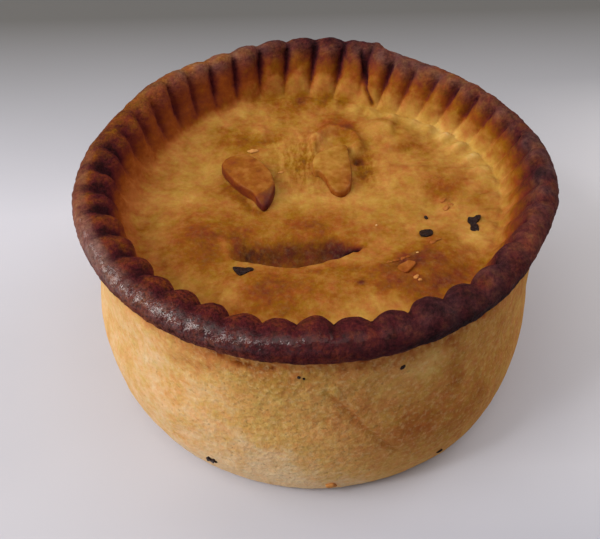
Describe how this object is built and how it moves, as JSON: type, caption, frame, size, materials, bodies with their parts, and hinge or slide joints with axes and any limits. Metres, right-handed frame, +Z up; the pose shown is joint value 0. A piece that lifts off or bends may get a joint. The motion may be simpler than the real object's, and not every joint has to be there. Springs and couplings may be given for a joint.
{
  "type": "rabbit pie",
  "caption": "Raised round meat pie, uncut: bellied pale golden case, thick dark crimped rim, sunken golden lid with a folded pocket and pastry leaves.",
  "frame": {"origin": "middle of the flat base, on the surface the pie stands on", "axes": "+Z up; -Y towards the front, the side of the lid with the folded pocket; +X to the right"},
  "size_m": [0.11, 0.1109, 0.0591],
  "materials": {
    "crust": "baked hot-water crust pastry, pale golden case, golden lid, dark brown rim, faint egg-wash sheen",
    "left_leaf": "baked pastry, orange-brown, egg-wash sheen",
    "right_leaf": "baked pastry, golden, egg-wash sheen"
  },
  "bodies": {
    "root": {"crust": "crust", "left_leaf": "left_leaf", "right_leaf": "right_leaf"}
  },
  "joints": []
}
